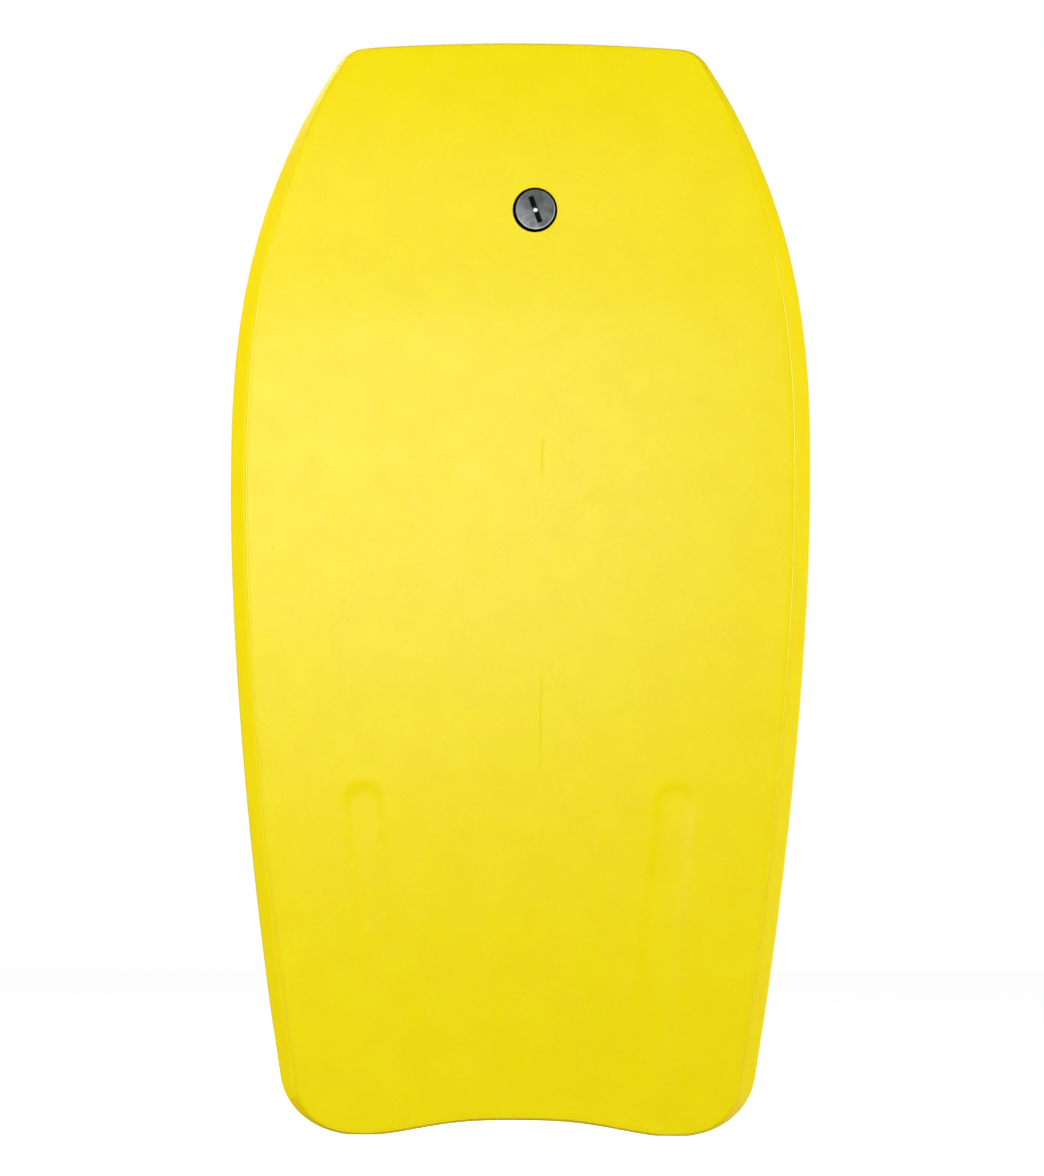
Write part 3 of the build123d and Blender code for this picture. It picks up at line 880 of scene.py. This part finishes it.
class OBJECT_OT_board_stage(bpy.types.Operator):
    """Set up the white studio, its lamps and the camera"""
    bl_idname = "object.board_stage"
    bl_label = "Stage"

    def execute(self, context):
        stage = context.scene.board_stage
        context.scene.view_settings.view_transform = "Standard"

        reach = 6.0
        corners = [Vector((x, y, TAIL - 0.0002)) for x, y in ((-reach, -reach), (reach, -reach))]
        corners = [corners, [Vector((p.x, reach, p.z)) for p in corners]]
        floor = grid_object("floor", corners)
        floor.data.materials.append(studio_floor_paint())
        floor.visible_diffuse = False
        floor.visible_glossy = False
        floor.visible_shadow = False

        world = bpy.data.worlds.new("white_room")
        context.scene.world = world
        world.use_nodes = True
        tree = world.node_tree
        tree.nodes.clear()
        seen = node(tree, "ShaderNodeLightPath").outputs["Is Camera Ray"]
        rest = calculate(tree, "MULTIPLY", calculate(tree, "SUBTRACT", 1.0, seen), stage.ambient)
        strength = calculate(tree, "ADD", seen, rest)
        sky = node(tree, "ShaderNodeBackground", {"Color": (1, 1, 1, 1)}, {"Strength": strength})
        node(tree, "ShaderNodeOutputWorld", links={"Surface": sky.outputs["Background"]})

        softbox("sheen_softbox", (-0.26, -1.6, 0.13), (-0.26, 0, 0.13), (0.84, 0.40), stage.sheen_power)
        softbox("nose_softbox", (-0.20, -1.6, 0.68), (-0.10, 0, 0.34), (0.7, 0.34), stage.sheen_power * 0.3)
        softbox("left_softbox", (-2.4, -1.55, 0.45), (0, 0, 0), (1.4, 1.4), stage.side_power * 0.96)
        softbox("right_softbox", (2.7, -1.4, 0.4), (0, 0, 0), (1.4, 1.4), stage.side_power * 1.13)
        softbox("low_softbox", (0, -0.14, -1.3), (0, 0, TAIL), (1.0, 0.4), stage.low_power)
        softbox("top_softbox", (0.1, -0.2, 2.0), (0, 0, NOSE), (1.6, 0.5), stage.top_power)
        softbox("deck_softbox", (-0.8, 2.6, 1.1), (0, 0, 0), (2.0, 1.6), stage.side_power * 1.1)
        softbox("deck_fill_softbox", (1.4, 2.4, -0.6), (0, 0, 0), (1.6, 1.6), stage.side_power * 0.5)

        data = bpy.data.cameras.new("camera")
        data.sensor_fit = "AUTO"
        data.sensor_width = 36.0
        data.lens = data.sensor_width * stage.camera_distance / stage.view_height
        data.clip_end = 60.0
        camera = bpy.data.objects.new("camera", data)
        camera.location = (stage.camera_aside, -stage.camera_distance, stage.camera_height)
        camera.rotation_euler = (radians(90), stage.roll, 0)
        context.scene.collection.objects.link(camera)
        context.scene.camera = camera
        return {"FINISHED"}


STEPS = (
    OBJECT_OT_board_stage,
    OBJECT_OT_board_slick,
    OBJECT_OT_board_deck,
    OBJECT_OT_board_strips,
    OBJECT_OT_board_inner,
    OBJECT_OT_board_plug,
)


class VIEW3D_PT_board(bpy.types.Panel):
    """The bodyboard's settings and operators"""
    bl_label = "Bodyboard"
    bl_space_type = "VIEW_3D"
    bl_region_type = "UI"
    bl_category = "Bodyboard"

    def draw(self, context):
        for group in (context.scene.board_look, context.scene.board_stage):
            for name in group.__annotations__:
                self.layout.prop(group, name)
        for step in STEPS:
            self.layout.operator(step.bl_idname)


CLASSES = (BoardLook, BoardStage, *STEPS, VIEW3D_PT_board)


def register():
    for cls in CLASSES:
        bpy.utils.register_class(cls)
    bpy.types.Scene.board_look = bpy.props.PointerProperty(type=BoardLook)
    bpy.types.Scene.board_stage = bpy.props.PointerProperty(type=BoardStage)


def unregister():
    del bpy.types.Scene.board_stage
    del bpy.types.Scene.board_look
    for cls in reversed(CLASSES):
        bpy.utils.unregister_class(cls)


def main():
    register()
    bpy.ops.object.board_stage()
    bpy.ops.object.board_slick()
    bpy.ops.object.board_deck()
    bpy.ops.object.board_strips()
    bpy.ops.object.board_inner()
    bpy.ops.object.board_plug()


if __name__ == "__main__":
    main()
